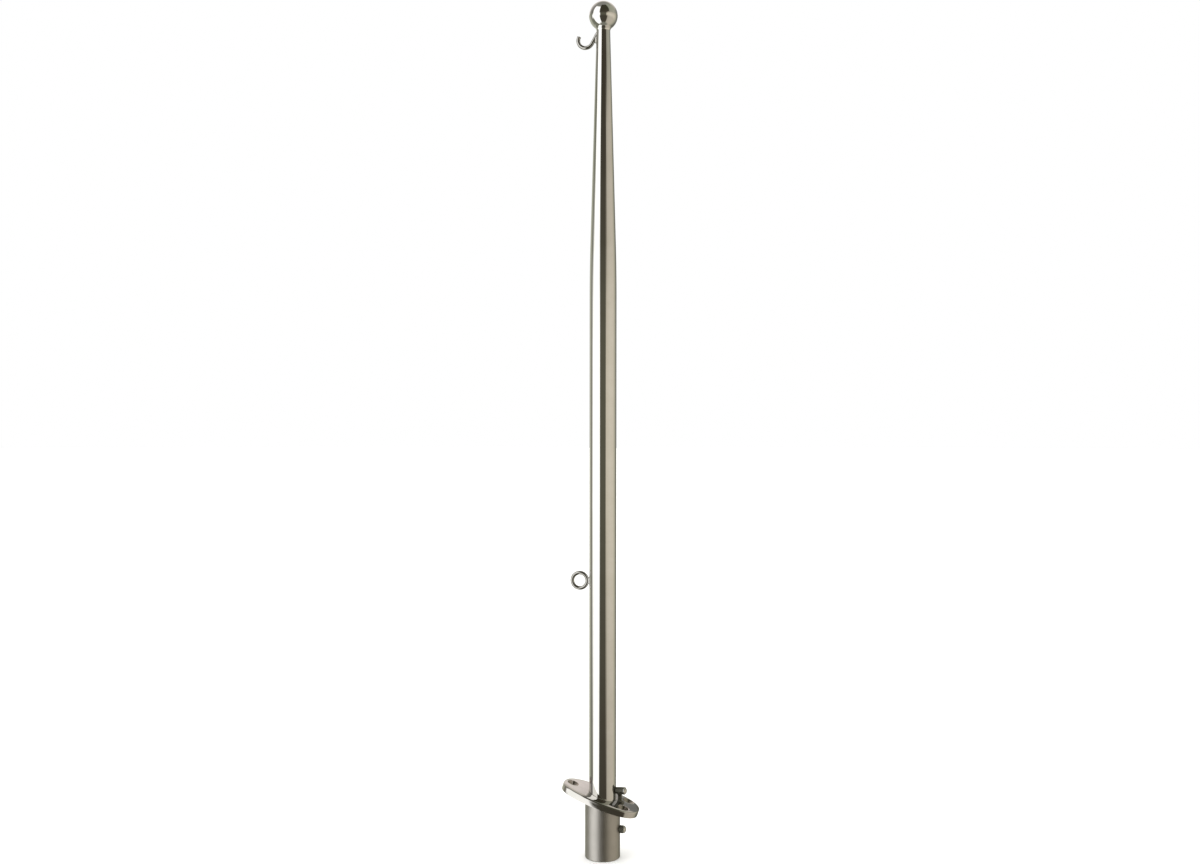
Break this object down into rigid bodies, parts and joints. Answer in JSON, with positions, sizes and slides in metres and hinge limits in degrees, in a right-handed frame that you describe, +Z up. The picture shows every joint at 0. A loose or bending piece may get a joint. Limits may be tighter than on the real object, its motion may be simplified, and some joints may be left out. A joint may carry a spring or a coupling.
{
  "type": "raked flagstaff with deck socket",
  "caption": "Short tapered metal flagstaff with a ball top, a flag hook and a ring on one side, standing in a socket with an angled oval deck flange.",
  "frame": {"origin": "on the staff's axis, in the plane of the flange's underside, which rests on the deck", "axes": "+Z up along the staff to the ball, -X towards the hook and the ring, +X towards the locking screws"},
  "size_m": [0.0737, 0.045, 0.8062],
  "materials": {
    "staff_polish": "mirror polished stainless steel",
    "ball_polish": "mirror polished stainless steel",
    "rod_polish": "polished round rod, slightly dulled",
    "weld_metal": "brushed weld bead",
    "flange_cast": "buffed stainless casting",
    "socket_satin": "satin stainless tube",
    "screw_steel": "turned stainless steel"
  },
  "bodies": {
    "socket": {"flange": "flange_cast", "socket_tube": "socket_satin", "screw_barrel": "flange_cast", "upper_screw": "screw_steel", "screw_boss": "socket_satin", "lower_screw": "screw_steel"},
    "staff": {"staff_tube": "staff_polish", "ball_truck": "ball_polish", "flag_hook": "rod_polish", "hook_weld": "weld_metal", "halyard_eye": "rod_polish", "eye_weld": "weld_metal"}
  },
  "joints": [
    {"name": "staff_lift", "type": "slide", "parent": "socket", "child": "staff", "axis": [0, 0, 1], "range_m": [0, 0.08]}
  ]
}
